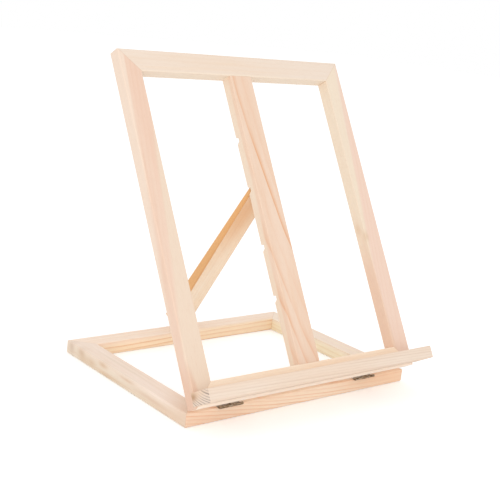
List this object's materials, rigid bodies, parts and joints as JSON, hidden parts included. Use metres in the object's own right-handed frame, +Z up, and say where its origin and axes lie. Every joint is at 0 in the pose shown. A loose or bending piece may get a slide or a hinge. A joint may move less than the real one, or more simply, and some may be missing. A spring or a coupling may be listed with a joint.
{
  "type": "tabletop easel",
  "caption": "Folding tabletop easel of pine: a mitred base frame, a hinged tilting frame with a ledge and notched center rail, and a hinged prop.",
  "frame": {"origin": "on the table, under the middle of the base's front rail", "axes": "+X to the right as seen from the front, +Y to the back, +Z up"},
  "size_m": [0.2654, 0.2356, 0.2902],
  "materials": {
    "pine": "planed pine, unfinished",
    "hinge_metal": "dull bronze-plated steel",
    "screw_steel": "plain zinc-plated steel"
  },
  "bodies": {
    "base": {"base_front_rail": "pine", "base_back_rail": "pine", "base_left_rail": "pine", "base_right_rail": "pine", "base_corner_nails": "screw_steel", "left_hinge_base_leaf": "hinge_metal", "right_hinge_base_leaf": "hinge_metal", "prop_hinge_base_leaf": "hinge_metal", "left_hinge_pin": "hinge_metal", "right_hinge_pin": "hinge_metal", "prop_hinge_pin": "hinge_metal", "front_hinge_base_screws": "screw_steel", "prop_hinge_base_screws": "screw_steel"},
    "tilting_frame": {"frame_left_stile": "pine", "frame_right_stile": "pine", "frame_top_rail": "pine", "frame_bottom_rail": "pine", "frame_corner_nails": "screw_steel", "frame_center_rail": "pine", "ledge": "pine", "left_hinge_frame_leaf": "hinge_metal", "right_hinge_frame_leaf": "hinge_metal", "front_hinge_frame_screws": "screw_steel"},
    "prop_arm": {"prop": "pine", "prop_hinge_prop_leaf": "hinge_metal", "prop_hinge_prop_screws": "screw_steel"}
  },
  "joints": [
    {"name": "frame_tilt", "type": "hinge", "parent": "base", "child": "tilting_frame", "pos_m": [0, -0.012, 0.0131], "axis": [1, 0, 0], "range_deg": [-57.6, 14.4]},
    {"name": "prop_swing", "type": "hinge", "parent": "base", "child": "prop_arm", "pos_m": [0.003, 0.184, 0.0131], "axis": [1, 0, 0], "range_deg": [-122.7, 30.7]}
  ],
  "couplings": [
    {"joint": "prop_swing", "follows": "frame_tilt", "ratio": 2.13}
  ]
}
